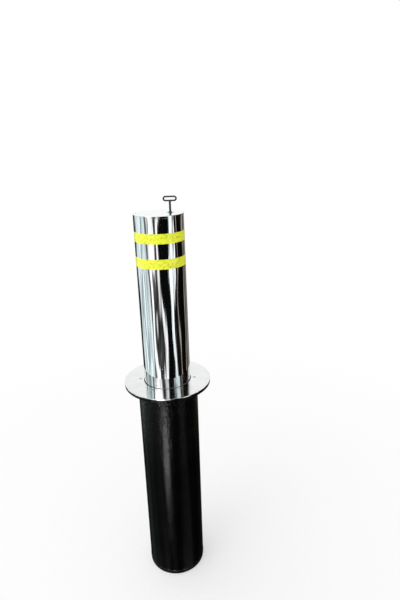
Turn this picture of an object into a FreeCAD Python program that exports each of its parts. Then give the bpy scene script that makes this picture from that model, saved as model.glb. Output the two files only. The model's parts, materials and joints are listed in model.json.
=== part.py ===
"""Retractable steel bollard: a locked post that slides in a sleeve cast into the ground.

The origin is the centre of the sleeve's base and +Z is up. The post stands raised, the lock is open and the
key is in it. A gas spring in the post lifts it, and the tongue of the lock holds it up or down.
"""
import FreeCAD, Part
import math
import os
import Sketcher
from FreeCAD import Placement, Rotation, Vector

# Driving dimensions, in millimetres and degrees, as (alias, value).
DIMENSIONS = [
    # sleeve and floor flange
    ("sleeve_radius", 109.55),
    ("sleeve_wall", 5),
    ("base_thickness", 8),
    ("base_skirt", 18),
    ("base_edge_fillet", 6),
    ("drain_radius", 12.5),
    ("drain_offset", 62),
    ("flange_radius", 157),
    ("flange_bottom", 817),
    ("flange_thickness", 10),
    ("register_depth", 1),
    ("register_clearance", 0.2),
    ("cover_radius", 157.5),
    ("cover_bore", 86.5),
    ("cover_thickness", 3),
    ("flange_screw_offset", 99.5),
    ("flange_screw_radius", 3),
    ("flange_screw_head", 6),
    ("flange_screw_length", 22),
    ("flange_screw_count", 6),
    # what guides the post and stops it
    ("bush_bore", 85),
    ("bush_radius", 91.9),
    ("bush_length", 50),
    ("wiper_height", 9),
    ("ring_clearance", 0.1),
    ("lock_ring_bore", 88),
    ("lock_ring_bottom", 690),
    ("lock_ring_thickness", 12),
    ("buffer_radius", 8),
    ("buffer_offset", 91),
    ("buffer_height", 31),
    ("buffer_count", 3),
    # post
    ("post_radius", 84.15),
    ("post_wall", 3),
    ("post_bottom", 640),
    ("cap_bottom", 1430),
    ("cap_thickness", 8),
    ("cap_chamfer", 2),
    ("cap_screw_offset", 73.5),
    ("cap_screw_radius", 2.5),
    ("cap_screw_head", 5),
    ("cap_screw_length", 18),
    ("cap_screw_count", 3),
    ("seat_bore", 66),
    ("seat_height", 12),
    ("band_thickness", 0.5),
    ("band_height", 33),
    ("upper_band_bottom", 1349),
    ("lower_band_bottom", 1265.5),
    ("collar_radius", 98),
    ("collar_height", 48),
    ("guide_radius", 103.9),
    ("guide_bottom", 646),
    ("guide_height", 32),
    ("bracket_thickness", 8),
    ("bracket_half_width", 30),
    ("lower_bracket_bottom", 730),
    ("upper_bracket_bottom", 1400),
    # gas spring
    ("rod_radius", 7),
    ("rod_clearance", 0.06),
    ("rod_end_radius", 5),
    ("rod_end_length", 10),
    ("rod_bottom", 42),
    ("piston_bottom", 770),
    ("piston_height", 12),
    ("piston_clearance", 0.1),
    ("cylinder_radius", 14),
    ("cylinder_bore", 11),
    ("cylinder_bottom", 745),
    ("cylinder_top", 1395),
    ("cylinder_end", 5),
    ("gland_height", 20),
    ("stud_radius", 5),
    ("stud_length", 23),
    ("nut_width", 17),
    ("nut_height", 8),
    ("eye_radius", 12),
    ("eye_half_width", 10.5),
    ("eye_neck_radius", 9),
    ("ear_inner", 11),
    ("ear_outer", 16),
    ("ear_half_width", 14),
    ("ear_height", 27),
    ("foot_thickness", 5),
    ("foot_half_length", 36),
    ("foot_screw_offset", 26),
    ("foot_screw_radius", 4),
    ("foot_screw_head", 6.5),
    ("foot_screw_head_height", 8),
    ("foot_screw_depth", 7),
    ("pin_height", 28),
    ("pin_radius", 5),
    ("pin_half_length", 18),
    # lock, on an axis beside the gas spring
    ("lock_offset", 40),
    ("lock_rod_radius", 6),
    ("lock_rod_bottom", 700),
    ("lock_clearance", 0.06),
    ("spindle_radius", 9),
    ("spindle_bottom", 1408.4),
    ("spindle_top", 1437),
    ("spindle_rod_depth", 11),
    ("key_socket_width", 8.2),
    ("key_socket_depth", 14),
    ("seal_height", 1430),
    ("seal_thickness", 1.3),
    ("bush_wall", 4),
    ("lock_bush_bottom", 1416),
    ("lock_bush_top", 1438.6),
    ("lock_bush_lip", 1.5),
    ("hub_radius", 8.5),
    ("hub_height", 18),
    ("tongue_bottom", 704),
    ("tongue_thickness", 10),
    ("tongue_half_width", 6),
    ("tongue_reach", 55),
    ("tongue_heel", 16),
    ("tongue_gap", 3),
    ("slot_middle_angle", -18),
    ("slot_angle", 52),
    ("cross_pin_radius", 1.5),
    ("tongue_pin_height", 716),
    ("spindle_pin_height", 1414),
    ("rod_collar_radius", 9.5),
    ("rod_collar_bottom", 721),
    ("rod_collar_height", 7),
    # keeper that holds the tongue while the post is down
    ("keeper_inner", 16.5),
    ("keeper_face", 22),
    ("keeper_hook", 30),
    ("keeper_foot", 58),
    ("keeper_half_width", 8),
    ("keeper_top", 122),
    ("keeper_hook_bottom", 116),
    # key
    ("bit_width", 8),
    ("bit_bottom", 1424),
    ("bit_top", 1439),
    ("key_stem_radius", 3.5),
    ("bow_wire_radius", 2.75),
    ("bow_bend_radius", 6.5),
    ("bow_straight", 28.5),
    ("bow_bottom", 1474),
    ("bow_neck", 4),
]

DOC = FreeCAD.newDocument("retractable_bollard")
SHEET = DOC.addObject("Spreadsheet::Sheet", "Sizes")
MODELLED = []


class Size:
    """A length or angle with the sheet expression that gives it."""

    def __init__(self, number, expression):
        self.number = number
        self.expression = expression

    def joined(self, sign, other, number):
        text = other.expression if isinstance(other, Size) else repr(other)
        return Size(number, f"({self.expression} {sign} {text})")

    def __add__(self, other):
        return self.joined("+", other, self.number + plain(other))

    def __sub__(self, other):
        return self.joined("-", other, self.number - plain(other))

    def __mul__(self, factor):
        return self.joined("*", factor, self.number * factor)

    def __neg__(self):
        return Size(-self.number, f"(-{self.expression})")


class Sizes:
    """Every driving dimension by its alias."""


def plain(value):
    return value.number if isinstance(value, Size) else value


def fill_sheet():
    for row, (alias, number) in enumerate(DIMENSIONS, start=1):
        SHEET.set(f"A{row}", alias)
        SHEET.set(f"B{row}", str(number))
        SHEET.setAlias(f"B{row}", alias)
        setattr(Sizes, alias, Size(number, f"Sizes.{alias}"))
    DOC.recompute()


def bind(thing, path, size):
    """Ties a property to the sheet, or sets it where the size is a bare number."""
    thing.setExpression(path, size.expression if isinstance(size, Size) else repr(size))


def origin_feature(body, role):
    return next(f for f in body.Origin.OriginFeatures if f.Role == role)


def new_body(name, offset=None):
    """A body for one piece. offset moves its own axis along +X, as for the lock and the key."""
    body = DOC.addObject("PartDesign::Body", name)
    body.Label = name
    if offset is not None:
        bind(body, "Placement.Base.x", offset)
    MODELLED.append(body)
    return body


def new_sketch(body, name, role):
    sketch = body.newObject("Sketcher::SketchObject", f"{body.Label}_{name}")
    sketch.AttachmentSupport = [(origin_feature(body, role), "")]
    sketch.MapMode = "FlatFace"
    return sketch


def place_point(sketch, geometry, position, across, up):
    """Fixes a point of a sketch at (across, up) from the sketch's origin."""
    for kind, size in (("DistanceX", across), ("DistanceY", up)):
        index = sketch.addConstraint(Sketcher.Constraint(kind, -1, 1, geometry, position, plain(size)))
        if isinstance(size, Size):
            sketch.setExpression(f"Constraints[{index}]", size.expression)


def add_polygon(sketch, points):
    corners = [Vector(plain(across), plain(up), 0) for across, up in points]
    first = sketch.GeometryCount
    count = len(points)
    for i in range(count):
        sketch.addGeometry(Part.LineSegment(corners[i], corners[(i + 1) % count]), False)
    for i in range(count):
        following = first + (i + 1) % count
        sketch.addConstraint(Sketcher.Constraint("Coincident", first + i, 2, following, 1))
        place_point(sketch, first + i, 1, *points[i])


def add_circle(sketch, across, up, radius):
    middle = Vector(plain(across), plain(up), 0)
    index = sketch.addGeometry(Part.Circle(middle, Vector(0, 0, 1), plain(radius)), False)
    place_point(sketch, index, 3, across, up)
    limit = sketch.addConstraint(Sketcher.Constraint("Radius", index, plain(radius)))
    sketch.setExpression(f"Constraints[{limit}]", radius.expression)


def rectangle(left, right, low, high):
    return [(left, low), (right, low), (right, high), (left, high)]


def hexagon(width):
    """Corners of a hexagon with the given width across its flats."""
    corner = 0.5 / math.cos(math.pi / 6)
    turns = [math.pi / 3 * i for i in range(6)]
    return [(width * (corner * math.cos(a)), width * (corner * math.sin(a))) for a in turns]


def finish_feature(body, feature):
    """Recomputes after a feature and stops if it failed."""
    body.Tip = feature
    DOC.recompute()
    if "Invalid" in feature.State or "Error" in feature.State:
        raise RuntimeError(f"{body.Label}: {feature.Label} failed")
    return feature


def spin(body, name, kind, points, axis=None, role="XZ_Plane"):
    """Revolves or grooves an outline about the body's axis, or about an upright axis away from it."""
    sketch = new_sketch(body, name, role)
    add_polygon(sketch, points)
    if axis is not None:
        low, high = Vector(plain(axis), 0, 0), Vector(plain(axis), 1, 0)
        index = sketch.addGeometry(Part.LineSegment(low, high), True)
        sketch.addConstraint(Sketcher.Constraint("Vertical", index))
        place_point(sketch, index, 1, axis, 0)
        sketch.addConstraint(Sketcher.Constraint("DistanceY", index, 1, index, 2, 1))
    feature = body.newObject(f"PartDesign::{kind}", f"{body.Label}_{name}_{kind.lower()}")
    feature.Profile = sketch
    feature.ReferenceAxis = (sketch, ["V_Axis" if axis is None else "Axis0"])
    feature.Angle = 360
    return finish_feature(body, feature)


def around(body, feature, count):
    """Repeats a feature around the body's axis."""
    pattern = body.newObject("PartDesign::PolarPattern", f"{feature.Label}_pattern")
    pattern.Originals = [feature]
    pattern.Axis = (origin_feature(body, "Z_Axis"), [""])
    pattern.Angle = 360
    bind(pattern, "Occurrences", count)
    return finish_feature(body, pattern)


def pad(body, name, bottom, height, outlines=(), circles=(), role="XY_Plane"):
    """Pads outlines and circles upwards from a height above their plane."""
    sketch = new_sketch(body, name, role)
    bind(sketch, "AttachmentOffset.Base.z", bottom)
    for points in outlines:
        add_polygon(sketch, points)
    for circle in circles:
        add_circle(sketch, *circle)
    feature = body.newObject("PartDesign::Pad", f"{body.Label}_{name}_pad")
    feature.Profile = sketch
    bind(feature, "Length", height)
    return finish_feature(body, feature)


def cut_through(body, name, outlines=(), circles=(), role="XY_Plane"):
    """Cuts outlines and circles right through, both ways from their plane, and checks that they cut."""
    before = body.Shape.Volume
    sketch = new_sketch(body, name, role)
    for points in outlines:
        add_polygon(sketch, points)
    for circle in circles:
        add_circle(sketch, *circle)
    feature = body.newObject("PartDesign::Pocket", f"{body.Label}_{name}_pocket")
    feature.Profile = sketch
    feature.Type = "ThroughAll"
    feature.Midplane = True
    finish_feature(body, feature)
    if body.Shape.Volume >= before:
        raise RuntimeError(f"{body.Label}: {name} cut nothing")
    return feature


def turned(name, points, offset=None):
    """A piece turned about its own axis."""
    body = new_body(name, offset)
    spin(body, "section", "Revolution", points)
    return body


def tube(name, bore, radius, bottom, top, offset=None):
    return turned(name, rectangle(bore, radius, bottom, top), offset)


def rod(name, radius, bottom, top, offset=None):
    return tube(name, 0, radius, bottom, top, offset)


# In-ground sleeve ---------------------------------------------------------------------------------

def make_base_cap():
    s = Sizes
    inner = s.sleeve_radius - s.sleeve_wall
    body = turned("base_cap", [
        (0, 0), (s.sleeve_radius, 0), (s.sleeve_radius, s.base_skirt), (inner, s.base_skirt),
        (inner, s.base_thickness), (0, s.base_thickness)])
    edges = [f"Edge{i}" for i, edge in enumerate(body.Shape.Edges, start=1)
             if edge.BoundBox.ZMax < 0.01 and edge.BoundBox.XMax > inner.number]
    cup = body.Tip
    fillet = body.newObject("PartDesign::Fillet", "base_cap_edge")
    fillet.Base = (cup, edges)
    bind(fillet, "Radius", s.base_edge_fillet)
    finish_feature(body, fillet)
    cut_through(body, "drain", circles=[(-s.drain_offset, 0, s.drain_radius)])
    hole = spin(body, "bracket_holes", "Groove", rectangle(
        s.foot_screw_offset, s.foot_screw_offset + s.foot_screw_radius,
        s.base_thickness - s.foot_screw_depth, s.base_thickness), s.foot_screw_offset, "YZ_Plane")
    around(body, hole, 2)


def make_sleeve():
    """The sleeve's tube, chamfered where it seats in the flange, and the rings and buffers in it."""
    s = Sizes
    inner = s.sleeve_radius - s.sleeve_wall
    seat = s.flange_bottom + s.register_depth
    turned("sleeve_tube", [
        (inner, s.base_skirt), (s.sleeve_radius, s.base_skirt), (s.sleeve_radius, s.flange_bottom),
        (s.sleeve_radius - s.register_depth, seat), (inner, seat)])
    tube("lock_ring", s.lock_ring_bore, inner - s.ring_clearance, s.lock_ring_bottom,
         s.lock_ring_bottom + s.lock_ring_thickness)
    tube("guide_bush", s.bush_bore, s.bush_radius, s.flange_bottom - s.bush_length, s.flange_bottom)
    tube("wiper_ring", s.bush_bore, s.bush_radius, s.flange_bottom, s.flange_bottom + s.wiper_height)
    buffers = new_body("stop_buffers")
    buffer = spin(buffers, "section", "Revolution", rectangle(
        s.buffer_offset, s.buffer_offset + s.buffer_radius,
        s.base_thickness, s.base_thickness + s.buffer_height), s.buffer_offset)
    around(buffers, buffer, s.buffer_count)


def make_flange():
    """The black flange with its register, its polished cover and the screws into the head ring."""
    s = Sizes
    inner = s.sleeve_radius - s.sleeve_wall
    register = s.sleeve_radius + s.register_clearance
    seat = s.flange_bottom + s.register_depth
    flange_top = s.flange_bottom + s.flange_thickness
    cover_top = flange_top + s.cover_thickness
    ring_bore = s.bush_radius + s.ring_clearance
    shank = s.flange_screw_offset + s.flange_screw_radius
    head = s.flange_screw_offset + s.flange_screw_head
    screw_bottom = cover_top - s.flange_screw_length
    head_ring = tube("head_ring", ring_bore, inner - s.ring_clearance, s.flange_bottom - s.bush_length, seat)
    flange = turned("sleeve_flange", [
        (ring_bore, seat), (register, seat), (register, s.flange_bottom), (s.flange_radius, s.flange_bottom),
        (s.flange_radius, flange_top), (ring_bore, flange_top)])
    for body, low, high in ((head_ring, screw_bottom, seat), (flange, seat, flange_top)):
        hole = spin(body, "screw_hole", "Groove", rectangle(s.flange_screw_offset, shank, low, high),
                    s.flange_screw_offset)
        around(body, hole, s.flange_screw_count)
    cover = tube("flange_cover", s.cover_bore, s.cover_radius, flange_top, cover_top)
    sink = spin(cover, "screw_sink", "Groove", [
        (s.flange_screw_offset, flange_top), (shank, flange_top), (head, cover_top),
        (s.flange_screw_offset, cover_top)], s.flange_screw_offset)
    around(cover, sink, s.flange_screw_count)
    screws = new_body("flange_screws")
    screw = spin(screws, "section", "Revolution", [
        (s.flange_screw_offset, screw_bottom), (shank, screw_bottom), (shank, flange_top), (head, cover_top),
        (s.flange_screw_offset, cover_top)], s.flange_screw_offset)
    around(screws, screw, s.flange_screw_count)


def make_keeper():
    s = Sizes
    keeper = new_body("lock_keeper")
    foot_top = s.base_thickness + s.foot_thickness
    pad(keeper, "profile", -s.keeper_half_width, s.keeper_half_width * 2, role="XZ_Plane", outlines=[[
        (s.keeper_inner, s.base_thickness), (s.keeper_foot, s.base_thickness), (s.keeper_foot, foot_top),
        (s.keeper_face, foot_top), (s.keeper_face, s.keeper_hook_bottom),
        (s.keeper_hook, s.keeper_hook_bottom), (s.keeper_hook, s.keeper_top),
        (s.keeper_inner, s.keeper_top)]])


# Gas spring ---------------------------------------------------------------------------------------

def make_gas_base():
    """The bracket on the sleeve's base, its screws and pin, and the eye that the rod screws into."""
    s = Sizes
    foot_top = s.base_thickness + s.foot_thickness
    bracket = new_body("gas_base_bracket")
    pad(bracket, "foot", s.base_thickness, s.foot_thickness,
        outlines=[rectangle(-s.ear_half_width, s.ear_half_width, -s.foot_half_length, s.foot_half_length)])
    pad(bracket, "ears", foot_top, s.ear_height, outlines=[
        rectangle(-s.ear_half_width, s.ear_half_width, s.ear_inner, s.ear_outer),
        rectangle(-s.ear_half_width, s.ear_half_width, -s.ear_outer, -s.ear_inner)])
    cut_through(bracket, "pin_hole", circles=[(0, s.pin_height, s.pin_radius)], role="XZ_Plane")
    cut_through(bracket, "screw_holes", circles=[
        (0, s.foot_screw_offset, s.foot_screw_radius), (0, -s.foot_screw_offset, s.foot_screw_radius)])
    pin = new_body("gas_base_pin")
    pad(pin, "section", -s.pin_half_length, s.pin_half_length * 2, circles=[(0, s.pin_height, s.pin_radius)],
        role="XZ_Plane")
    screws = new_body("bracket_screws")
    across = [s.foot_screw_offset, s.foot_screw_offset + s.foot_screw_radius,
              s.foot_screw_offset + s.foot_screw_head]
    head_top = foot_top + s.foot_screw_head_height
    screw_bottom = s.base_thickness - s.foot_screw_depth
    screw = spin(screws, "section", "Revolution", [
        (across[0], screw_bottom), (across[1], screw_bottom), (across[1], foot_top), (across[2], foot_top),
        (across[2], head_top), (across[0], head_top)], across[0], "YZ_Plane")
    around(screws, screw, 2)
    eye = new_body("gas_rod_eye")
    pad(eye, "barrel", -s.eye_half_width, s.eye_half_width * 2, circles=[(0, s.pin_height, s.eye_radius)],
        role="XZ_Plane")
    neck_top = s.rod_bottom + s.rod_end_length
    spin(eye, "neck", "Revolution", rectangle(0, s.eye_neck_radius, s.pin_height, neck_top))
    spin(eye, "thread", "Groove", rectangle(0, s.rod_end_radius, s.rod_bottom, neck_top))
    cut_through(eye, "pin_hole", circles=[(0, s.pin_height, s.pin_radius)], role="XZ_Plane")


def make_gas_spring():
    s = Sizes
    shoulder = s.rod_bottom + s.rod_end_length
    turned("gas_rod", [
        (0, s.rod_bottom), (s.rod_end_radius, s.rod_bottom), (s.rod_end_radius, shoulder),
        (s.rod_radius, shoulder), (s.rod_radius, s.piston_bottom), (0, s.piston_bottom)])
    piston_top = s.piston_bottom + s.piston_height
    rod("gas_piston", s.cylinder_bore - s.piston_clearance, s.piston_bottom, piston_top)
    bore_top = s.cylinder_top - s.cylinder_end
    turned("gas_cylinder", [
        (s.cylinder_bore, s.cylinder_bottom), (s.cylinder_radius, s.cylinder_bottom),
        (s.cylinder_radius, s.cylinder_top), (0, s.cylinder_top), (0, bore_top),
        (s.cylinder_bore, bore_top)])
    gland_bore = s.rod_radius + s.rod_clearance
    gland_bottom = s.lower_bracket_bottom + s.bracket_thickness
    gland_top = s.cylinder_bottom + s.gland_height
    turned("gas_gland", [
        (gland_bore, gland_bottom), (s.cylinder_radius, gland_bottom),
        (s.cylinder_radius, s.cylinder_bottom), (s.cylinder_bore, s.cylinder_bottom),
        (s.cylinder_bore, gland_top), (gland_bore, gland_top)])
    rod("gas_top_stud", s.stud_radius, s.cylinder_top, s.cylinder_top + s.stud_length)
    nut = new_body("gas_top_nut")
    pad(nut, "section", s.upper_bracket_bottom + s.bracket_thickness, s.nut_height,
        outlines=[hexagon(s.nut_width)], circles=[(0, 0, s.stud_radius)])


# Post ---------------------------------------------------------------------------------------------

def make_post_tube():
    s = Sizes
    inner = s.post_radius - s.post_wall
    body = tube("post_tube", inner, s.post_radius, s.post_bottom, s.cap_bottom)
    sketch = new_sketch(body, "tongue_slot", "XZ_Plane")
    bind(sketch, "AttachmentOffset.Rotation.Angle", s.slot_middle_angle)
    turn = Rotation(Vector(0, 1, 0), s.slot_middle_angle.number)
    sketch.AttachmentOffset = Placement(Vector(0, 0, 0), turn)
    tongue_top = s.tongue_bottom + s.tongue_thickness
    add_polygon(sketch, rectangle(inner - s.post_wall, s.post_radius + s.post_wall,
                                  s.tongue_bottom - s.tongue_gap, tongue_top + s.tongue_gap))
    slot = body.newObject("PartDesign::Groove", "post_tube_tongue_slot_groove")
    slot.Profile = sketch
    slot.ReferenceAxis = (sketch, ["V_Axis"])
    slot.Midplane = True
    bind(slot, "Angle", s.slot_angle)
    before = body.Shape.Volume
    finish_feature(body, slot)
    if body.Shape.Volume >= before:
        raise RuntimeError("the tongue slot cut nothing")


def make_post_fittings():
    s = Sizes
    inner = s.post_radius - s.post_wall
    collar_top = s.post_bottom + s.collar_height
    tube("stop_collar", s.post_radius, s.collar_radius, s.post_bottom, collar_top)
    tube("post_guide_ring", s.collar_radius, s.guide_radius, s.guide_bottom, s.guide_bottom + s.guide_height)
    band_radius = s.post_radius + s.band_thickness
    tube("reflective_band_upper", s.post_radius, band_radius, s.upper_band_bottom,
         s.upper_band_bottom + s.band_height)
    tube("reflective_band_lower", s.post_radius, band_radius, s.lower_band_bottom,
         s.lower_band_bottom + s.band_height)
    holes = {
        "lower_bracket": (s.lower_bracket_bottom, s.rod_radius + 1, s.lock_rod_radius + s.lock_clearance),
        "upper_bracket": (s.upper_bracket_bottom, s.stud_radius, s.lock_rod_radius + s.lock_clearance),
    }
    for name, (bottom, middle_hole, lock_hole) in holes.items():
        bracket = rod(name, inner, bottom, bottom + s.bracket_thickness)
        cut_through(bracket, "sides", outlines=[
            rectangle(-s.post_radius, s.post_radius, s.bracket_half_width, s.post_radius),
            rectangle(-s.post_radius, s.post_radius, -s.post_radius, -s.bracket_half_width)])
        cut_through(bracket, "holes", circles=[(0, 0, middle_hole), (s.lock_offset, 0, lock_hole)])


def make_cap():
    """The top cap, the ring it is screwed to, its screws and the bush around the lock spindle."""
    s = Sizes
    inner = s.post_radius - s.post_wall
    cap_top = s.cap_bottom + s.cap_thickness
    seat_bottom = s.cap_bottom - s.seat_height
    shank = -s.cap_screw_offset - s.cap_screw_radius
    head = -s.cap_screw_offset - s.cap_screw_head
    sink_bottom = cap_top - (s.cap_screw_head - s.cap_screw_radius)
    screw_bottom = cap_top - s.cap_screw_length
    bush_radius = s.spindle_radius + s.bush_wall
    cap = turned("top_cap", [
        (0, s.cap_bottom), (s.post_radius, s.cap_bottom), (s.post_radius, cap_top - s.cap_chamfer),
        (s.post_radius - s.cap_chamfer, cap_top), (0, cap_top)])
    cut_through(cap, "lock_hole", circles=[(s.lock_offset, 0, bush_radius)])
    seat = tube("cap_seat_ring", s.seat_bore, inner, seat_bottom, s.cap_bottom)
    screws = new_body("cap_screws")
    across = -s.cap_screw_offset
    outlines = [
        (cap, "Groove", [(across, s.cap_bottom), (shank, s.cap_bottom), (shank, sink_bottom),
                         (head, cap_top), (across, cap_top)]),
        (seat, "Groove", [(across, seat_bottom), (shank, seat_bottom), (shank, s.cap_bottom),
                          (across, s.cap_bottom)]),
        (screws, "Revolution", [(across, screw_bottom), (shank, screw_bottom), (shank, sink_bottom),
                                (head, cap_top), (across, cap_top)]),
    ]
    for body, kind, points in outlines:
        around(body, spin(body, "screw", kind, points, across), s.cap_screw_count)
    bore = s.spindle_radius + s.lock_clearance
    lip_radius = bush_radius + s.lock_bush_lip
    turned("lock_bush", [
        (bore, s.lock_bush_bottom), (bush_radius, s.lock_bush_bottom), (bush_radius, cap_top),
        (lip_radius, cap_top), (bush_radius, s.lock_bush_top), (bore, s.lock_bush_top)], s.lock_offset)


# Lock and key -------------------------------------------------------------------------------------

def cross_bore(body, height):
    s = Sizes
    cut_through(body, "pin_hole", circles=[(0, height, s.cross_pin_radius)], role="XZ_Plane")


def cross_pin(name, height, half_length):
    s = Sizes
    body = new_body(name, s.lock_offset)
    pad(body, "section", -half_length, half_length * 2, circles=[(0, height, s.cross_pin_radius)],
        role="XZ_Plane")


def make_lock():
    s = Sizes
    rod_top = s.spindle_bottom + s.spindle_rod_depth
    lock_rod = rod("lock_rod", s.lock_rod_radius, s.lock_rod_bottom, rod_top, s.lock_offset)
    cross_bore(lock_rod, s.tongue_pin_height)
    cut_through(lock_rod, "spindle_pin_hole", circles=[(0, s.spindle_pin_height, s.cross_pin_radius)],
                role="XZ_Plane")
    groove = s.spindle_radius - s.seal_thickness
    groove_top = s.seal_height + s.seal_thickness * 2
    spindle = turned("lock_spindle", [
        (s.lock_rod_radius, s.spindle_bottom), (s.spindle_radius, s.spindle_bottom),
        (s.spindle_radius, s.seal_height), (groove, s.seal_height), (groove, groove_top),
        (s.spindle_radius, groove_top), (s.spindle_radius, s.spindle_top), (0, s.spindle_top), (0, rod_top),
        (s.lock_rod_radius, rod_top)], s.lock_offset)
    sketch = new_sketch(spindle, "key_socket", "XY_Plane")
    bind(sketch, "AttachmentOffset.Base.z", s.spindle_top)
    add_polygon(sketch, hexagon(s.key_socket_width))
    socket = spindle.newObject("PartDesign::Pocket", "lock_spindle_socket")
    socket.Profile = sketch
    bind(socket, "Length", s.key_socket_depth)
    before = spindle.Shape.Volume
    finish_feature(spindle, socket)
    if spindle.Shape.Volume >= before:
        raise RuntimeError("the key socket cut nothing")
    cross_bore(spindle, s.spindle_pin_height)
    tube("spindle_seal", groove, s.spindle_radius, s.seal_height, groove_top, s.lock_offset)
    tongue = rod("lock_tongue", s.hub_radius, s.lock_rod_bottom, s.lock_rod_bottom + s.hub_height,
                 s.lock_offset)
    pad(tongue, "arm", s.tongue_bottom, s.tongue_thickness, outlines=[
        rectangle(-s.tongue_half_width, s.tongue_half_width, -s.tongue_reach, s.tongue_heel)])
    cut_through(tongue, "bore", circles=[(0, 0, s.lock_rod_radius)])
    cross_bore(tongue, s.tongue_pin_height)
    cross_pin("tongue_pin", s.tongue_pin_height, s.hub_radius - s.ring_clearance * 2)
    cross_pin("spindle_pin", s.spindle_pin_height, s.spindle_radius - s.ring_clearance * 2)
    tube("rod_collar", s.lock_rod_radius, s.rod_collar_radius, s.rod_collar_bottom,
         s.rod_collar_bottom + s.rod_collar_height, s.lock_offset)


def make_key():
    s = Sizes
    neck_bottom = s.bow_bottom - s.bow_neck
    shank = new_body("key_shank", s.lock_offset)
    pad(shank, "bit", s.bit_bottom, s.bit_top - s.bit_bottom, outlines=[hexagon(s.bit_width)])
    pad(shank, "stem", s.bit_top, neck_bottom - s.bit_top, circles=[(0, 0, s.key_stem_radius)])
    middle = s.bow_bottom + s.bow_wire_radius + s.bow_bend_radius
    pieces = []
    for name, side in (("right", 1), ("left", -1)):
        bend = DOC.addObject("Part::Torus", f"bow_bend_{name}")
        bend.Placement.Rotation = Rotation(Vector(1, 0, 0), 90) * Rotation(Vector(0, 0, 1), -90 * side)
        bend.Angle3 = 180
        bind(bend, "Radius1", s.bow_bend_radius)
        bind(bend, "Radius2", s.bow_wire_radius)
        bind(bend, "Placement.Base.x", s.lock_offset + s.bow_straight * (0.5 * side))
        bind(bend, "Placement.Base.z", middle)
        pieces.append(bend)
    for name, rise in (("top", s.bow_bend_radius), ("bottom", -s.bow_bend_radius)):
        bar = DOC.addObject("Part::Cylinder", f"bow_bar_{name}")
        bar.Placement.Rotation = Rotation(Vector(0, 1, 0), 90)
        bind(bar, "Radius", s.bow_wire_radius)
        bind(bar, "Height", s.bow_straight)
        bind(bar, "Placement.Base.x", s.lock_offset - s.bow_straight * 0.5)
        bind(bar, "Placement.Base.z", middle + rise)
        pieces.append(bar)
    neck = DOC.addObject("Part::Cylinder", "bow_neck")
    bind(neck, "Radius", s.key_stem_radius)
    bind(neck, "Height", s.bow_neck + s.bow_wire_radius)
    bind(neck, "Placement.Base.x", s.lock_offset)
    bind(neck, "Placement.Base.z", neck_bottom)
    pieces.append(neck)
    bow = DOC.addObject("Part::MultiFuse", "key_bow")
    bow.Shapes = pieces
    bow.Refine = True
    bow.Label = "key_bow"
    MODELLED.append(bow)


def check_document():
    DOC.recompute()
    failed = [thing.Label for thing in DOC.Objects if "Invalid" in thing.State or "Error" in thing.State]
    for thing in MODELLED:
        if thing.Shape.isNull() or not thing.Shape.isValid() or not thing.Shape.Solids:
            failed.append(thing.Label)
    if failed:
        raise RuntimeError(f"failed: {failed}")


def write_steps():
    os.makedirs("parts", exist_ok=True)
    for thing in MODELLED:
        thing.Shape.exportStep(f"parts/{thing.Label}.step")
        print(f"{thing.Label}: {len(thing.Shape.Solids)} solid(s), {thing.Shape.Volume:.0f} mm3")


fill_sheet()
make_base_cap()
make_sleeve()
make_flange()
make_keeper()
make_gas_base()
make_gas_spring()
make_post_tube()
make_post_fittings()
make_cap()
make_lock()
make_key()
check_document()
write_steps()
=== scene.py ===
"""Looks of the retractable bollard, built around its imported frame.

Lengths are in metres in the row frame: the origin is the centre of the sleeve's base and +Z is up.
"""
import json
import math

import bmesh
import bpy
from mathutils import Matrix, Vector, noise


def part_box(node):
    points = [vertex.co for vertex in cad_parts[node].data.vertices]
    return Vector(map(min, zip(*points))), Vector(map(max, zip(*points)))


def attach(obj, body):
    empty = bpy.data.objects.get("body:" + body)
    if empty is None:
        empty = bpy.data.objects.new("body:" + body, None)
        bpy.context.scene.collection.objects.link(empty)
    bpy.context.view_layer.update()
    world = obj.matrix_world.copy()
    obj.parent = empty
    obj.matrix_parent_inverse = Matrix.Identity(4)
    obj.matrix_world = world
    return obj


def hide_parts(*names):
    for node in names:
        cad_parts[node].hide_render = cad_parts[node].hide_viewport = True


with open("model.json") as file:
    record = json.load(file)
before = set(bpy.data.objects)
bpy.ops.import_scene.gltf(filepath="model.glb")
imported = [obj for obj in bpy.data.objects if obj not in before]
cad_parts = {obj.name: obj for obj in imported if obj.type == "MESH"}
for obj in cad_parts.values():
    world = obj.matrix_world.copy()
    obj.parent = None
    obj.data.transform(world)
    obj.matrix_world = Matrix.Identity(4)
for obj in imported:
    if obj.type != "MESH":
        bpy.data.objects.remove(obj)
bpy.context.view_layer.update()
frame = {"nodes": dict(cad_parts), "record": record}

MM = 0.001
SLEEVE = "in_ground_sleeve"
POST = "post"
KEY = "key"
SEGMENTS = 192
FINE_SEGMENTS = 64
SMOOTH_ANGLE = math.radians(34)
WHITE = (1, 1, 1, 1)

# Sizes that the boxes of the CAD nodes don't give.
SLEEVE_WALL = 5 * MM
BASE_FLOOR = 8 * MM
DRAIN_PLACE = (-62 * MM, 0)
DRAIN_RADIUS = 12.5 * MM
REGISTER_GAP = 0.2 * MM
COVER_BORE = 86.5 * MM
COVER_SCREW_COUNT = 6
COVER_SCREW = 3 * MM
COVER_SCREW_HEAD = 6 * MM
WIPER_BORE = 85 * MM
POST_WALL = 3 * MM
SLOT_MIDDLE = math.radians(-18)
SLOT_HALF = math.radians(26)
HUB_PAST_SLOT = 1 * MM
CAP_SCREW_COUNT = 3
CAP_SCREW = 2.5 * MM
CAP_SCREW_HEAD = 5 * MM
LOCK_BUSH = 13 * MM
LOCK_BORE = 9.06 * MM
KEY_STEM = 3.5 * MM
KEY_BIT_FLATS = 8 * MM
KEY_BIT_LENGTH = 15 * MM
BOW_WIRE = 2.75 * MM
BOW_BEND = 6.5 * MM
FILM_CELL = 5.2 * MM

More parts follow.
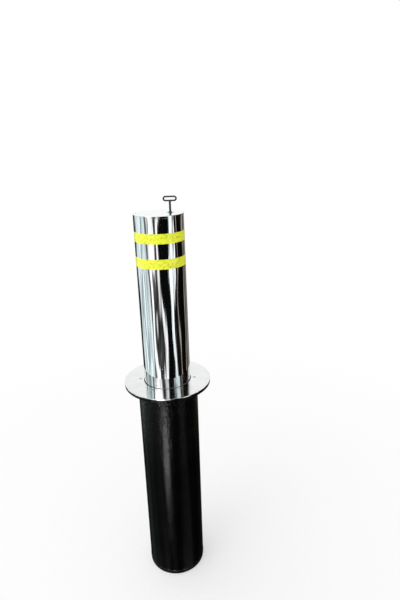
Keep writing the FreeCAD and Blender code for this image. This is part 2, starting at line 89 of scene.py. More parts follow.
# Where the viewer stands: eye position, how far down they look, the picture's tilt, and the lens.
EYE = Vector((0.129, -1.567, 1.654))
LOOK_DOWN = math.radians(18.49)
TILT = math.radians(-1.77)
PHOTO_LENS = 18.84
CLOSER = 1.5
EYE_AZIMUTH = math.degrees(math.atan2(EYE.x, -EYE.y))


# Mesh building ------------------------------------------------------------------------------------

def extent(node):
    """Outer radius, bottom and top of a CAD node that is centred on the post's axis."""
    low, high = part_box(node)
    return high.x, low.z, high.z


def rounded(corners, steps=5):
    """Outline through corners (radius, height, rounding), with an arc at each rounded one."""
    outline = []
    count = len(corners)
    for i, (r, z, rounding) in enumerate(corners):
        corner = Vector((r, z))
        if rounding <= 0:
            outline.append(corner)
            continue
        before = (Vector(corners[i - 1][:2]) - corner).normalized()
        after = (Vector(corners[(i + 1) % count][:2]) - corner).normalized()
        half = before.angle(after) / 2
        centre = corner + (before + after).normalized() * (rounding / math.sin(half))
        start = corner + before * (rounding / math.tan(half)) - centre
        sweep = start.angle_signed(corner + after * (rounding / math.tan(half)) - centre)
        for k in range(steps + 1):
            outline.append(centre + Matrix.Rotation(-sweep * k / steps, 2) @ start)
    return outline


def divided(outline, longest):
    """The same closed outline with its long runs split into equal ones."""
    result = []
    for i, point in enumerate(outline):
        following = outline[(i + 1) % len(outline)]
        pieces = max(1, math.ceil((following - point).length / longest))
        result.extend(point.lerp(following, k / pieces) for k in range(pieces))
    return result


def new_piece(name, mesh, body, slot, *replaced):
    """An object that rides on a body and stands for CAD nodes. Its slot argument is not used."""
    piece = bpy.data.objects.new(name, mesh)
    bpy.context.scene.collection.objects.link(piece)
    if body is not None:
        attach(piece, body)
    if replaced:
        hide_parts(*replaced)
    return piece


def lathe(name, outline, segments=SEGMENTS, centre=(0, 0), swell=None, start=0.0):
    """Mesh of a closed outline turned about an upright axis. swell(r, angle, z) returns a new radius."""
    mesh = bpy.data.meshes.new(name)
    build = bmesh.new()
    surface = build.loops.layers.uv.new("surface")
    rings = []
    for point in outline:
        if point.x < 1e-7:
            rings.append([build.verts.new((centre[0], centre[1], point.y))] * segments)
            continue
        ring = []
        for k in range(segments):
            angle = start + math.tau * k / segments
            r = swell(point.x, angle, point.y) if swell else point.x
            x = centre[0] + r * math.cos(angle)
            y = centre[1] + r * math.sin(angle)
            ring.append(build.verts.new((x, y, point.y)))
        rings.append(ring)
    travelled = [0.0]
    for i, point in enumerate(outline):
        travelled.append(travelled[-1] + (outline[(i + 1) % len(outline)] - point).length)
    for i, ring in enumerate(rings):
        above = rings[(i + 1) % len(rings)]
        reach = max(outline[i].x, outline[(i + 1) % len(rings)].x)
        for k in range(segments):
            j = (k + 1) % segments
            corners = [(ring[k], k, i), (ring[j], k + 1, i), (above[j], k + 1, i + 1), (above[k], k, i + 1)]
            distinct = [c for n, c in enumerate(corners) if c[0] is not corners[n - 1][0]]
            if len(distinct) < 3:
                continue
            face = build.faces.new([c[0] for c in distinct])
            for loop, (_, turn, row) in zip(face.loops, distinct):
                loop[surface].uv = (math.tau * turn / segments * reach, travelled[row])
    bmesh.ops.recalc_face_normals(build, faces=build.faces)
    build.to_mesh(mesh)
    build.free()
    return mesh


def prism(name, sides, radius, low, high, centre=(0, 0), turn=0.0, top_radius=None):
    """Upright prism or frustum, used whole or as a cutter."""
    mesh = bpy.data.meshes.new(name)
    build = bmesh.new()
    rings = []
    for r, z in ((radius, low), (radius if top_radius is None else top_radius, high)):
        angles = [turn + math.tau * k / sides for k in range(sides)]
        rings.append([build.verts.new((centre[0] + r * math.cos(a), centre[1] + r * math.sin(a), z))
                      for a in angles])
    build.faces.new(rings[0][::-1])
    build.faces.new(rings[1])
    for k in range(sides):
        j = (k + 1) % sides
        build.faces.new((rings[0][k], rings[0][j], rings[1][j], rings[1][k]))
    bmesh.ops.recalc_face_normals(build, faces=build.faces)
    build.to_mesh(mesh)
    build.free()
    return mesh


def settle(piece):
    """Applies a piece's modifiers to its mesh."""
    graph = bpy.context.evaluated_depsgraph_get()
    mesh = bpy.data.meshes.new_from_object(piece.evaluated_get(graph))
    piece.modifiers.clear()
    piece.data = mesh


def cut(piece, cutters):
    """Cuts the cutter meshes out of a piece."""
    for mesh in cutters:
        cutter = new_piece(f"{piece.name}_cutter", mesh, None, None)
        modifier = piece.modifiers.new("cut", "BOOLEAN")
        modifier.operation = "DIFFERENCE"
        modifier.solver = "EXACT"
        modifier.object = cutter
        settle(piece)
        bpy.data.objects.remove(cutter)


def shade(piece, material):
    """Smooth shading with sharp corners kept, flat faces kept flat, and one material."""
    mesh = piece.data
    mesh.materials.clear()
    mesh.materials.append(material)
    mesh.shade_smooth()
    mesh.set_sharp_from_angle(angle=SMOOTH_ANGLE)
    weighted = piece.modifiers.new("flat faces stay flat", "WEIGHTED_NORMAL")
    weighted.keep_sharp = True


def around(count, radius, first=0.0):
    """Centres of equally spaced screws, with the angle of each."""
    for k in range(count):
        angle = first + math.tau * k / count
        yield radius * math.cos(angle), radius * math.sin(angle), angle


# Shader building ----------------------------------------------------------------------------------

class Nodes:
    """Adds and links the nodes of one material or world."""

    def __init__(self, owner):
        owner.use_nodes = True
        self.tree = owner.node_tree

    def add(self, kind, inputs=None, **settings):
        node = self.tree.nodes.new(f"ShaderNode{kind}")
        for name, value in settings.items():
            setattr(node, name, value)
        self.link(node, inputs or {})
        return node

    def link(self, node, inputs):
        for key, value in inputs.items():
            if isinstance(value, bpy.types.NodeSocket):
                self.tree.links.new(value, node.inputs[key])
            else:
                node.inputs[key].default_value = value

    def maths(self, operation, first, second=0.0, clamp=False):
        return self.add("Math", {0: first, 1: second}, operation=operation, use_clamp=clamp).outputs[0]

    def vector(self, operation, first, second=(0, 0, 0)):
        return self.add("VectorMath", {0: first, 1: second}, operation=operation).outputs[0]

    def scaled(self, coordinates, scale):
        return self.vector("MULTIPLY", coordinates, scale)

    def noise(self, coordinates, scale, detail=3.0, roughness=0.5, distortion=0.0):
        return self.add("TexNoise", {"Vector": coordinates, "Scale": scale, "Detail": detail,
                                     "Roughness": roughness, "Distortion": distortion}).outputs["Fac"]

    def ramp(self, value, *stops, interpolation="LINEAR"):
        """Colour ramp; each stop is (position, colour)."""
        node = self.add("ValToRGB", {"Fac": value})
        band = node.color_ramp
        band.interpolation = interpolation
        while len(band.elements) < len(stops):
            band.elements.new(0.5)
        for element, (position, colour) in zip(band.elements, stops):
            element.position = position
            element.color = (*colour[:3], 1) if hasattr(colour, "__len__") else (colour, colour, colour, 1)
        return node.outputs["Color"]

    def span(self, value, low, high, to_low, to_high):
        """Maps low..high to to_low..to_high, held at the ends."""
        return self.add("MapRange", {"Value": value, "From Min": low, "From Max": high,
                                     "To Min": to_low, "To Max": to_high}).outputs["Result"]

    def mix(self, factor, first, second, blend="MIX"):
        node = self.add("Mix", data_type="RGBA", blend_type=blend)
        self.link(node, {0: factor})
        for index, colour in ((6, first), (7, second)):
            value = colour if isinstance(colour, bpy.types.NodeSocket) else (*colour[:3], 1)
            self.link(node, {index: value})
        return node.outputs[2]

    def bump(self, height, distance, strength=1.0, normal=None):
        inputs = {"Height": height, "Distance": distance, "Strength": strength}
        if normal is not None:
            inputs["Normal"] = normal
        return self.add("Bump", inputs).outputs["Normal"]


def new_material(name, constants):
    """A material with a principled shader whose plain sockets are set, and its node builder."""
    material = bpy.data.materials.new(name)
    nodes = Nodes(material)
    shader = nodes.tree.nodes["Principled BSDF"]
    for socket, value in constants.items():
        shader.inputs[socket].default_value = value
    return material, nodes, shader


def object_place(nodes):
    return nodes.add("TexCoord").outputs["Object"]


def polished_steel(name, grain, colour=(0.78, 0.785, 0.79), smooth=(0.015, 0.07), wave=0.00012):
    """Mirror-polished steel. grain is the noise scale along X, Y and Z, low along the polishing."""
    material, nodes, shader = new_material(name, {"Metallic": 1.0})
    place = object_place(nodes)
    lines = nodes.noise(nodes.scaled(place, grain), 1.0, 6.0, 0.62)
    slow = nodes.noise(nodes.scaled(place, tuple(g * 0.12 for g in grain)), 1.0, 2.0)
    smudges = nodes.noise(place, 14.0, 4.0, 0.55, 0.4)
    tone = nodes.ramp(lines, (0.3, tuple(c * 0.9 for c in colour)), (0.62, colour))
    shine = nodes.maths("ADD", nodes.span(lines, 0.3, 0.75, smooth[0], smooth[1]),
                        nodes.span(smudges, 0.5, 0.8, 0.0, 0.05))
    normal = nodes.bump(slow, wave * 5, 0.5)
    normal = nodes.bump(lines, wave, 0.35, normal)
    nodes.link(shader, {"Base Color": tone, "Roughness": shine, "Normal": normal})
    return material


def turned_steel(name, centre, colour=(0.74, 0.745, 0.75), smooth=(0.05, 0.13), pitch=900.0, depth=0.00003):
    """Polished steel with faint turning lines round an upright axis."""
    material, nodes, shader = new_material(name, {"Metallic": 1.0})
    place = object_place(nodes)
    offset = nodes.vector("SUBTRACT", place, (centre[0], centre[1], 0))
    flat = nodes.vector("MULTIPLY", offset, (1, 1, 0))
    radius = nodes.add("VectorMath", {0: flat}, operation="LENGTH").outputs["Value"]
    rings = nodes.add("TexNoise", {"W": radius, "Scale": pitch, "Detail": 4.0},
                      noise_dimensions="1D").outputs["Fac"]
    smudges = nodes.noise(place, 22.0, 5.0, 0.6, 0.5)
    tone = nodes.ramp(smudges, (0.3, tuple(c * 0.92 for c in colour)), (0.6, colour))
    shine = nodes.maths("ADD", nodes.span(rings, 0.3, 0.7, smooth[0], smooth[1]),
                        nodes.span(smudges, 0.5, 0.75, 0.0, 0.07))
    nodes.link(shader, {"Base Color": tone, "Roughness": shine, "Normal": nodes.bump(rings, depth, 0.5)})
    return material


def black_coating(name, painted_glints=0.0):
    """Black powder coating with an orange peel, coarser near the flange. Its last argument mixes in grey
    spots, painted highlights that stand for small broken glints.
    """
    material, nodes, shader = new_material(name, {"Specular IOR Level": 0.16})
    place = object_place(nodes)
    peel = nodes.noise(place, 190.0, 3.0, 0.55, 0.2)
    grain = nodes.noise(place, 800.0, 3.0, 0.6)
    patches = nodes.noise(place, 9.0, 4.0, 0.55, 0.5)
    tone = nodes.ramp(patches, (0.35, (0.0006, 0.0006, 0.0007)), (0.75, (0.0024, 0.0023, 0.0022)))
    # The grey spots are painted highlights: small broken glints painted into the coating's colour.
    if painted_glints:
        glint_spots = nodes.noise(place, 120.0, 4.0, 0.65)
        tone = nodes.mix(nodes.span(glint_spots, 0.54, 0.62, 0.0, painted_glints), tone, (0.16, 0.16, 0.155))
    shine = nodes.maths("ADD", nodes.span(peel, 0.35, 0.65, 0.06, 0.1),
                        nodes.span(patches, 0.5, 0.8, 0.0, 0.04))
    height = nodes.add("SeparateXYZ", {0: place}).outputs[2]
    lumps = nodes.maths("MULTIPLY", nodes.noise(place, 120.0, 2.0, 0.5),
                        nodes.span(height, 0.45, 0.8, 0.2, 1.0))
    normal = nodes.bump(lumps, 0.0034, 0.6)
    normal = nodes.bump(peel, 0.0006, 0.6, normal)
    normal = nodes.bump(grain, 0.0002, 0.4, normal)
    nodes.link(shader, {"Base Color": tone, "Roughness": shine, "Normal": normal})
    return material


def honeycomb(nodes, coordinates, cell):
    """How close a point is to the edge of its hexagonal cell: 0 in the middle, 0.5 at an edge."""
    size = (1.0, math.sqrt(3), 1.0)
    half = tuple(s / 2 for s in size)
    point = nodes.vector("ADD", nodes.scaled(coordinates, (1 / cell, 1 / cell, 0)), (100.0, 100.0, 0.0))
    centred = []
    for shift in ((0, 0, 0), half):
        wrapped = nodes.vector("MODULO", nodes.vector("ADD", point, shift), size)
        flat = nodes.vector("MULTIPLY", nodes.vector("SUBTRACT", wrapped, half), (1, 1, 0))
        centred.append(nodes.vector("ABSOLUTE", flat))
    edges = []
    for offset in centred:
        parts = nodes.add("SeparateXYZ", {0: offset})
        slanted = nodes.maths("ADD", nodes.maths("MULTIPLY", parts.outputs[0], 0.5),
                              nodes.maths("MULTIPLY", parts.outputs[1], math.sqrt(3) / 2))
        edges.append(nodes.maths("MAXIMUM", parts.outputs[0], slanted))
    return nodes.maths("MINIMUM", *edges)


def reflective_film():
    """Fluorescent yellow film with sealed honeycomb cells of fine prisms under a clear face, and a faint
    painted glow of its own colour from emission.
    """
    # The emission strength gives the film a painted glow: it shines faintly in its own colour, though no
    # lamp lights it.
    constants = {"Coat Weight": 0.3, "Coat Roughness": 0.12, "Emission Strength": 0.08}
    material, nodes, shader = new_material("yellow_film_painted_glow", constants)
    across = nodes.add("UVMap", uv_map="surface").outputs["UV"]
    place = object_place(nodes)
    edge = honeycomb(nodes, across, FILM_CELL)
    seal = nodes.span(edge, 0.44, 0.475, 0.0, 1.0)
    prisms = nodes.noise(across, 1700.0, 2.0)
    mottle = nodes.noise(place, 130.0, 3.0, 0.6)
    cloud = nodes.maths("ADD", nodes.maths("MULTIPLY", prisms, 0.4), nodes.maths("MULTIPLY", mottle, 0.6))
    face = nodes.ramp(cloud, (0.38, (0.38, 0.42, 0.002)), (0.5, (0.78, 0.84, 0.006)),
                      (0.6, (0.88, 0.93, 0.03)))
    tone = nodes.mix(seal, face, (0.9, 0.9, 0.1))
    shine = nodes.span(prisms, 0.3, 0.7, 0.22, 0.42)
    normal = nodes.bump(seal, 0.00012, 0.5)
    normal = nodes.bump(prisms, 0.00008, 0.5, normal)
    # Emission Color takes the film's tone, so the painted glow has the film's colour.
    nodes.link(shader, {"Base Color": tone, "Emission Color": tone, "Roughness": shine, "Normal": normal})
    return material


def plain_metal(name, colour, rough, scale=60.0, metallic=1.0, bump=0.00005, spread=0.12):
    """Zinc plate, brass, paint or worn steel: colour and roughness vary with a soft noise."""
    material, nodes, shader = new_material(name, {"Metallic": metallic})
    place = object_place(nodes)
    patches = nodes.noise(place, scale, 5.0, 0.6, 0.6)
    grain = nodes.noise(place, scale * 18, 3.0)
    dark = tuple(c * 0.78 for c in colour)
    nodes.link(shader, {
        "Base Color": nodes.ramp(patches, (0.35, dark), (0.65, colour)),
        "Roughness": nodes.span(patches, 0.3, 0.7, rough, rough + spread),
        "Normal": nodes.bump(grain, bump, 0.5)})
    return material


def soft_plastic(name, colour, rough, scale=160.0, bump=0.0001):
    """Nylon or rubber with a fine moulded grain."""
    return plain_metal(name, colour, rough, scale, 0.0, bump, 0.1)


MATERIALS = {
    "post_steel": polished_steel("post_polished_steel", (70.0, 70.0, 2.2)),
    "cover_steel": turned_steel("cover_polished_steel", (0, 0)),
    "cap_steel": turned_steel("cap_polished_steel", (0, 0), smooth=(0.06, 0.15)),
    "screw_steel": plain_metal("screw_steel", (0.6, 0.6, 0.61), 0.18, 220.0),
    "coating": black_coating("black_powder_coat"),
    # Coating with grey spots painted on as glints, a painted highlight, used for the base weld.
    "painted_glints": black_coating("powder_coat_painted_glints", 0.8),
    "film": reflective_film(),
    "zinc": plain_metal("zinc_plate", (0.62, 0.63, 0.66), 0.28, 70.0),
    "chrome": polished_steel("hard_chrome", (2.0, 2.0, 400.0), (0.78, 0.78, 0.8), (0.04, 0.09), 0.00003),
    "cylinder": plain_metal("cylinder_paint", (0.02, 0.02, 0.022), 0.25, 40.0, 0.0),
    "key": plain_metal("worn_key_steel", (0.09, 0.09, 0.094), 0.22, 120.0, spread=0.2),
    "nylon": soft_plastic("cast_nylon", (0.78, 0.76, 0.68), 0.42),
    "rubber": soft_plastic("black_rubber", (0.018, 0.018, 0.019), 0.5, 300.0),
}
SLOT_MATERIALS = {
    "polished_stainless": "post_steel", "black_coating": "coating", "yellow_reflective": "film",
    "stainless_fastener": "screw_steel", "zinc_steel": "zinc", "hard_chrome": "chrome",
    "cylinder_paint": "cylinder", "key_steel": "key", "nylon": "nylon", "rubber": "rubber",
}


# In-ground sleeve ---------------------------------------------------------------------------------

def bead(name, radius, height, width, ripples, tall):
    """Ring of weld metal in a corner, with the ripples of its passes."""
    def swell(r, angle, z):
        lumps = noise.noise(Vector((math.cos(angle) * 7, math.sin(angle) * 7, height)))
        pulse = 0.5 + 0.5 * math.cos(angle * ripples)
        return radius + (r - radius) * (0.82 + 0.14 * pulse + 0.16 * lumps)
    outline = [Vector((radius, height))]
    outline += [Vector((radius + width * math.cos(a), height + tall * math.sin(a)))
                for a in (math.pi / 2 * k / 6 - math.pi / 2 for k in range(7))]
    return lathe(name, outline, SEGMENTS * 3, swell=swell)


def make_sleeve():
    radius, bottom, top = extent("sleeve_tube")
    underside = extent("sleeve_flange")[1]
    inner = radius - SLEEVE_WALL
    edge = 0.4 * MM
    longest_row = 20 * MM
    rows = divided(rounded([(inner, bottom, edge), (radius, bottom, edge), (radius, underside, 0),
                            (radius + underside - top, top, 0), (inner, top, 0)], 3), longest_row)

    def swell(r, angle, z):
        dent = noise.noise(Vector((math.cos(angle) * 1.6, math.sin(angle) * 1.6, z * 2.5)))
        return r + 0.12 * MM * dent
    sleeve = new_piece("sleeve_shell", lathe("sleeve_shell", rows, swell=swell), SLEEVE, "black_coating",
                       "sleeve_tube")
    shade(sleeve, MATERIALS["coating"])
    leg = 5.5 * MM
    mesh = bead("flange_weld", radius, underside, leg, 150, leg)
    flange_weld = new_piece("flange_weld", mesh, SLEEVE, "black_coating")
    shade(flange_weld, MATERIALS["coating"])


def make_base():
    radius, bottom, top = extent("base_cap")
    floor = bottom + BASE_FLOOR
    inner = radius - SLEEVE_WALL
    rim = top - 0.6 * MM
    outline = rounded([(0, bottom, 0), (radius, bottom, 6 * MM), (radius, rim, 0.6 * MM),
                       (inner, rim, 0.5 * MM), (inner, floor, 2 * MM), (0, floor, 0)], 8)
    base = new_piece("sleeve_base", lathe("sleeve_base", outline), SLEEVE, "black_coating", "base_cap")
    flare = 1.5 * MM
    cut(base, [prism("drain", FINE_SEGMENTS, DRAIN_RADIUS, bottom - SLEEVE_WALL, floor + SLEEVE_WALL,
                     DRAIN_PLACE),
               prism("drain_edge", FINE_SEGMENTS, DRAIN_RADIUS + flare, bottom - 0.01 * MM,
                     bottom + flare, DRAIN_PLACE, top_radius=DRAIN_RADIUS)])
    shade(base, MATERIALS["coating"])

    def uneven(r, angle, z):
        ripple = noise.noise(Vector((math.cos(angle) * 12, math.sin(angle) * 12, 3)))
        return r + 0.25 * MM * ripple if r > radius else r
    half = 2.6 * MM
    crown = [Vector((radius + 0.7 * MM * math.cos(a), top + half * math.sin(a)))
             for a in (math.pi / 2 - math.pi * k / 10 for k in range(11))]
    root = radius - 1 * MM
    outline = [Vector((root, top + half)), *crown, Vector((root, top - half))]
    seam = new_piece("base_weld", lathe("base_weld", outline, swell=uneven), SLEEVE, "black_coating")
    # The weld's coating has grey spots painted on as a painted highlight of broken glints along its ring.
    shade(seam, MATERIALS["painted_glints"])


def make_flange():
    radius, bottom, top = extent("sleeve_flange")
    inner = extent("wiper_ring")[0] + 0.1 * MM
    sleeve_radius, _, seat = extent("sleeve_tube")
    register = sleeve_radius + REGISTER_GAP
    outline = rounded([(inner, seat, 0.3 * MM), (register, seat, 0), (register, bottom, 0),
                       (radius, bottom, 1.2 * MM), (radius, top, 0.8 * MM), (inner, top, 0.5 * MM)])
    mesh = lathe("ground_flange", outline)
    flange = new_piece("ground_flange", mesh, SLEEVE, "black_coating", "sleeve_flange")
    screw_low, screw_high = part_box("flange_screws")
    head = COVER_SCREW_HEAD
    places = list(around(COVER_SCREW_COUNT, screw_high.x - head))
    cut(flange, [prism("clearance", 32, COVER_SCREW + 0.02 * MM, bottom - head, top + head, place[:2])
                 for place in places])
    shade(flange, MATERIALS["coating"])

    radius, bottom, top = extent("flange_cover")
    outline = rounded([(COVER_BORE, bottom, 0.3 * MM), (radius, bottom, 0.4 * MM), (radius, top, 0.6 * MM),
                       (COVER_BORE, top, 0.6 * MM)], 6)
    mesh = lathe("cover_plate", outline)
    cover = new_piece("cover_plate", mesh, SLEEVE, "polished_stainless", "flange_cover")
    cut(cover, [prism("sink", 48, COVER_SCREW, bottom - 0.01 * MM, top + 0.4 * MM, place[:2],
                      top_radius=head + 0.75 * MM) for place in places])
    shade(cover, MATERIALS["cover_steel"])

    parts = []
    face = top - 0.05 * MM
    for x, y, angle in places:
        outline = rounded([(0, screw_low.z, 0), (COVER_SCREW, screw_low.z, 0.5 * MM),
                           (COVER_SCREW, bottom, 0), (head, face, 0.25 * MM), (0, face, 0)], 3)
        screw = new_piece("cover_screw", lathe("cover_screw", outline, 48, (x, y)), None, None)
        cut(screw, [prism("hexagon", 6, 2.3 * MM, top - 2.3 * MM, top + head, (x, y), angle * 2.7)])
        parts.append(screw)
    join_as("cover_screws", parts, SLEEVE, "stainless_fastener", "screw_steel", "flange_screws")


def join_as(name, parts, body, slot, material, *replaced):
    """One piece made of several separate solids."""
    build = bmesh.new()
    for part in parts:
        build.from_mesh(part.data)
        bpy.data.objects.remove(part)
    mesh = bpy.data.meshes.new(name)
    build.to_mesh(mesh)
    build.free()
    shade(new_piece(name, mesh, body, slot, *replaced), MATERIALS[material])


def make_wiper():
    radius, bottom, top = extent("wiper_ring")
    edge = 0.4 * MM
    shoulder = top - 1 * MM
    outline = rounded([(WIPER_BORE + 3 * MM, bottom, edge), (radius, bottom, edge), (radius, shoulder, edge),
                       (WIPER_BORE + 3.6 * MM, shoulder, 0.8 * MM), (WIPER_BORE + 0.9 * MM, top, edge),
                       (WIPER_BORE, top - edge, 0.2 * MM),
                       (WIPER_BORE + 1.2 * MM, top - 3.4 * MM, 0.8 * MM)], 4)
    wiper = new_piece("wiper_lip", lathe("wiper_lip", outline), SLEEVE, "rubber", "wiper_ring")
    shade(wiper, MATERIALS["rubber"])


# Post ---------------------------------------------------------------------------------------------

def rolled(amount):
    """The slight unevenness of a rolled and polished tube, long along it and short around it."""
    def swell(r, angle, z):
        wave = noise.noise(Vector((math.cos(angle) * 3.2, math.sin(angle) * 3.2, z * 2.6 + 4)))
        fine = noise.noise(Vector((math.cos(angle) * 8.5, math.sin(angle) * 8.5, z * 4.5)))
        return r + amount * (wave + 0.32 * fine)
    return swell


def make_post():
    radius, bottom, top = extent("post_tube")
    inner = radius - POST_WALL
    longest_row = 12 * MM
    rows = divided(rounded([(inner, bottom, 0.4 * MM), (radius, bottom, 0.4 * MM), (radius, top, 0.25 * MM),
                            (inner, top, 0.25 * MM)], 3), longest_row)
    post = new_piece("post_shell", lathe("post_shell", rows, 256, swell=rolled(0.16 * MM)), POST,
                     "polished_stainless", "post_tube")
    cut(post, [tongue_slot(radius)])
    shade(post, MATERIALS["post_steel"])


def tongue_slot(radius):
    """Cutter for the slot in the post's wall through which the lock tongue swings out."""
    low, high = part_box("lock_tongue")
    slot_low = low.z + HUB_PAST_SLOT
    slot_high = high.z - HUB_PAST_SLOT
    near = radius * 0.6
    reach = radius * 1.3
    mesh = bpy.data.meshes.new("tongue_slot")
    build = bmesh.new()
    angles = [SLOT_MIDDLE + SLOT_HALF * k / 4 for k in range(-4, 5)]
    foot = [build.verts.new((near * math.cos(a), near * math.sin(a), slot_low)) for a in angles]
    foot += [build.verts.new((reach * math.cos(a), reach * math.sin(a), slot_low)) for a in angles[::-1]]
    base = build.faces.new(foot)
    raised = bmesh.ops.extrude_face_region(build, geom=[base])["geom"]
    bmesh.ops.translate(build, vec=(0, 0, slot_high - slot_low),
                        verts=[g for g in raised if isinstance(g, bmesh.types.BMVert)])
    bmesh.ops.recalc_face_normals(build, faces=build.faces)
    build.to_mesh(mesh)
    build.free()
    return mesh


def make_bands():
    post_radius = extent("post_tube")[0]
    seam = math.radians(-59)
    overlap = math.radians(7)

    def lapped(r, angle, z):
        behind = (seam - angle) % math.tau
        return r + 0.18 * MM if r > post_radius and behind < overlap else r
    back = post_radius - 0.05 * MM
    longest_row = 11 * MM
    for place in ("upper", "lower"):
        node = f"reflective_band_{place}"
        name = f"film_band_{place}"
        radius, bottom, top = extent(node)
        outline = divided(rounded([(back, bottom, 0), (radius, bottom, 0.2 * MM), (radius, top, 0.2 * MM),
                                   (back, top, 0)], 3), longest_row)
        mesh = lathe(name, outline, 256, swell=lapped, start=seam)
        band = new_piece(name, mesh, POST, "yellow_reflective", node)
        shade(band, MATERIALS["film"])


def make_cap():
    radius, bottom, top = extent("top_cap")
    low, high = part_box("lock_bush")
    lock = ((low.x + high.x) / 2, (low.y + high.y) / 2)
    outline = rounded([(0, bottom, 0), (radius, bottom, 0.25 * MM), (radius, top, 2.2 * MM), (0, top, 0)], 8)
    cap = new_piece("cap_plate", lathe("cap_plate", outline, 256), POST, "polished_stainless", "top_cap")
    screw_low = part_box("cap_screws")[0]
    head = CAP_SCREW_HEAD
    places = list(around(CAP_SCREW_COUNT, -screw_low.x - head, math.pi))
    hole = prism("lock_hole", FINE_SEGMENTS * 2, LOCK_BUSH, bottom - head, top + head, lock)
    sinks = [prism("sink", 48, CAP_SCREW, top - 2.5 * MM, top + 0.4 * MM, place[:2],
                   top_radius=head + 0.4 * MM) for place in places]
    shanks = [prism("shank", 32, CAP_SCREW, bottom - head, top - 2 * MM, place[:2]) for place in places]
    cut(cap, [hole, *sinks, *shanks])
    shade(cap, MATERIALS["cap_steel"])

    parts = []
    face = top - 0.05 * MM
    for x, y, angle in places:
        outline = rounded([(0, screw_low.z, 0), (CAP_SCREW, screw_low.z, 0.4 * MM),
                           (CAP_SCREW, top - 2.5 * MM, 0), (head, face, 0.25 * MM), (0, face, 0)], 3)
        screw = new_piece("cap_fixing", lathe("cap_fixing", outline, 48, (x, y)), None, None)
        cut(screw, [prism("hexagon", 6, 1.8 * MM, top - 2 * MM, top + head, (x, y), angle * 1.3)])
        parts.append(screw)
    join_as("cap_fixings", parts, POST, "stainless_fastener", "screw_steel", "cap_screws")

    lip = LOCK_BUSH + 1.5 * MM
    outline = rounded([(LOCK_BORE, low.z, 0.3 * MM), (LOCK_BUSH, low.z, 0.3 * MM), (LOCK_BUSH, top, 0),
                       (lip, top + 0.01 * MM, 0), (lip - 0.9 * MM, high.z, 0.3 * MM),
                       (LOCK_BORE, high.z, 0.5 * MM)], 4)
    mesh = lathe("bush_ring", outline, 96, lock)
    bush = new_piece("bush_ring", mesh, POST, "stainless_fastener", "lock_bush")
    shade(bush, MATERIALS["screw_steel"])


# Key ----------------------------------------------------------------------------------------------

def make_key():
    low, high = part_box("key_shank")
    centre = ((low.x + high.x) / 2, (low.y + high.y) / 2)
    bit_top = low.z + KEY_BIT_LENGTH
    bit_chamfer = 0.8 * MM
    bit_shoulder = low.z + bit_chamfer
    corner = KEY_BIT_FLATS / math.cos(math.pi / 6) / 2
    collar = 5.2 * MM
    mesh = prism("key_stem", 6, corner, bit_shoulder, bit_top, centre)
    build = bmesh.new()
    build.from_mesh(mesh)
    build.from_mesh(prism("bit_point", 6, corner - bit_chamfer, low.z, bit_shoulder, centre,
                          top_radius=corner))
    outline = rounded([(0, bit_top, 0), (collar, bit_top, 0.5 * MM), (collar, bit_top + 3 * MM, 0.9 * MM),
                       (KEY_STEM, bit_top + 3.4 * MM, 0.6 * MM), (KEY_STEM, high.z, 0), (0, high.z, 0)], 5)
    build.from_mesh(lathe("key_neck", outline, FINE_SEGMENTS, centre))
    build.to_mesh(mesh)
    build.free()
    shade(new_piece("key_stem", mesh, KEY, "key_steel", "key_shank"), MATERIALS["key"])
    make_bow(centre)


def make_bow(centre):
    """The key's handle: round bar bent to a long loop, forged to the stem and smoothed into one body."""
    low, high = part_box("key_bow")
    straight = (high.x - low.x) / 2 - BOW_WIRE - BOW_BEND
    middle = high.z - BOW_WIRE - BOW_BEND
    path = []
    for side in (1, -1):
        for k in range(17):
            a = math.pi * k / 16 - math.pi / 2
            outward = straight + BOW_BEND * math.cos(a)
            path.append(Vector((side * outward, 0, side * BOW_BEND * math.sin(a))))
    mesh = bpy.data.meshes.new("key_handle")
    build = bmesh.new()
    sides = 20
    across = Vector((0, 1, 0))
    rings = []
    for i, point in enumerate(path):
        inward = (path[(i + 1) % len(path)] - path[i - 1]).normalized().cross(across)
        place = point + Vector((*centre, middle))
        turns = [math.tau * k / sides for k in range(sides)]
        rings.append([build.verts.new(place + BOW_WIRE * (inward * math.cos(a) + across * math.sin(a)))
                      for a in turns])
    for i, ring in enumerate(rings):
        following = rings[(i + 1) % len(rings)]
        for k in range(sides):
            j = (k + 1) % sides
            build.faces.new((ring[k], ring[j], following[j], following[k]))
    bar = middle - BOW_BEND
    neck = rounded([(0, low.z, 0), (KEY_STEM, low.z, 0.2 * MM), (KEY_STEM, bar - 1.2 * MM, 0),
                    (KEY_STEM + 1.3 * MM, bar, 0), (0, bar, 0)], 4)
    build.from_mesh(lathe("bow_neck", neck, 32, centre))
    bmesh.ops.recalc_face_normals(build, faces=build.faces)
    build.to_mesh(mesh)
    build.free()
    handle = new_piece("key_handle", mesh, KEY, "key_steel", "key_bow")
    remesh = handle.modifiers.new("one forging", "REMESH")
    remesh.mode = "VOXEL"
    remesh.voxel_size = 0.4 * MM
    smooth = handle.modifiers.new("softened joint", "SMOOTH")
    smooth.factor = 0.5
    smooth.iterations = 4
    settle(handle)
    shade(handle, MATERIALS["key"])


def dress_frame():
    """Gives each CAD node that stays in view the procedural material of its slot."""
    slots = {s["node"]: s["material_slot"] for s in frame["record"]["subparts"]}
    for name, node in frame["nodes"].items():
        if not node.hide_render:
            material = MATERIALS[SLOT_MATERIALS[slots[name]]]
            if not node.material_slots:
                node.data.materials.append(material)
            for slot in node.material_slots:
                slot.link = "OBJECT"
                slot.material = material


# Stage --------------------------------------------------------------------------------------------

